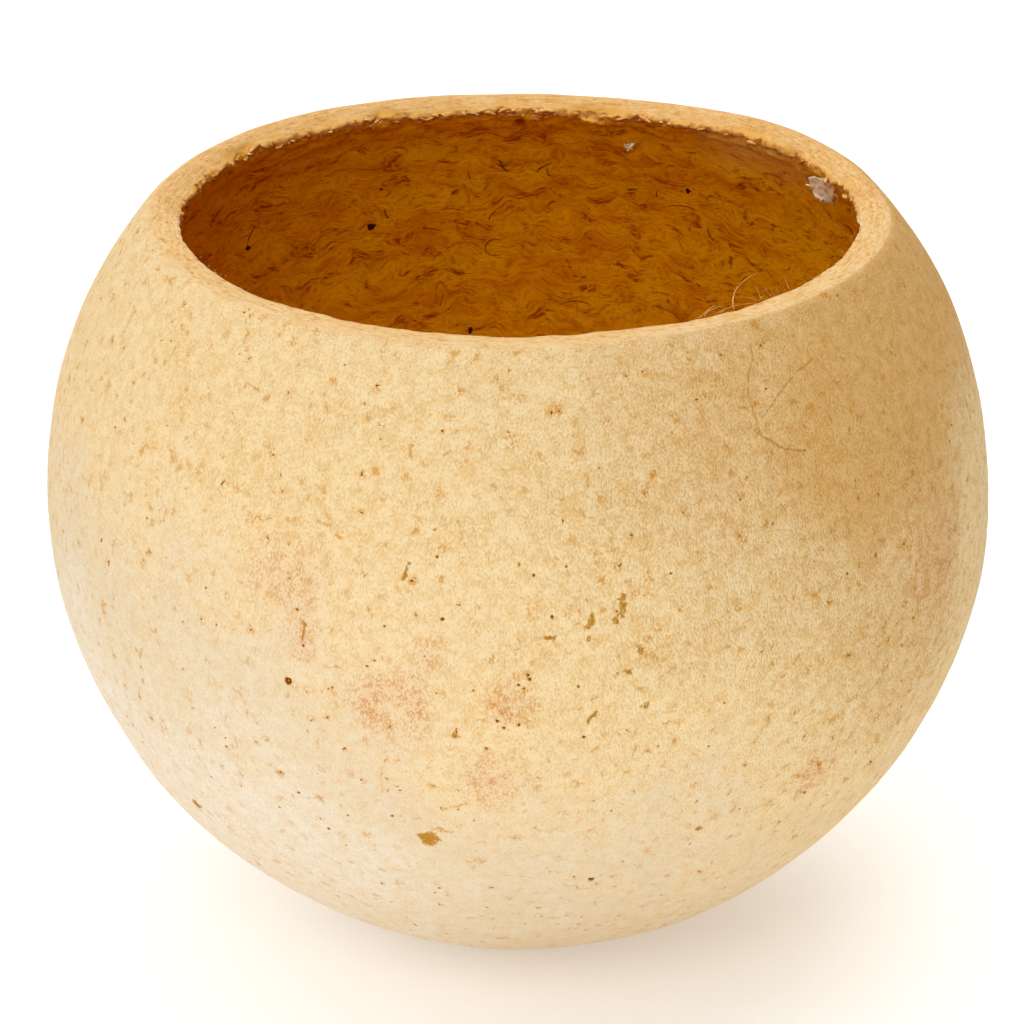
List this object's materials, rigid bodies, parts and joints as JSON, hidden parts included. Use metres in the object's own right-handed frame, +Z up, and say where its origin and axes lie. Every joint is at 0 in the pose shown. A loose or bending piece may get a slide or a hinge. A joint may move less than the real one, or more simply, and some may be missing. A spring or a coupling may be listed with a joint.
{
  "type": "dried bell cup pod",
  "caption": "Dried bell cup pod: the round, hollow woody rind of a fruit, cut open across the top, which stands on a small flat foot.",
  "frame": {"origin": "middle of the foot, on the surface that the pod stands on", "axes": "+Z up along the pod's axis, out of its mouth; -Y is the front; +X is to the right seen from the front"},
  "size_m": [0.07, 0.07, 0.0558],
  "materials": {
    "rind": "dry, matt, finely speckled woody rind; pale fibrous cut; amber-brown felted inside"
  },
  "bodies": {
    "root": {"pod_shell": "rind"}
  },
  "joints": []
}
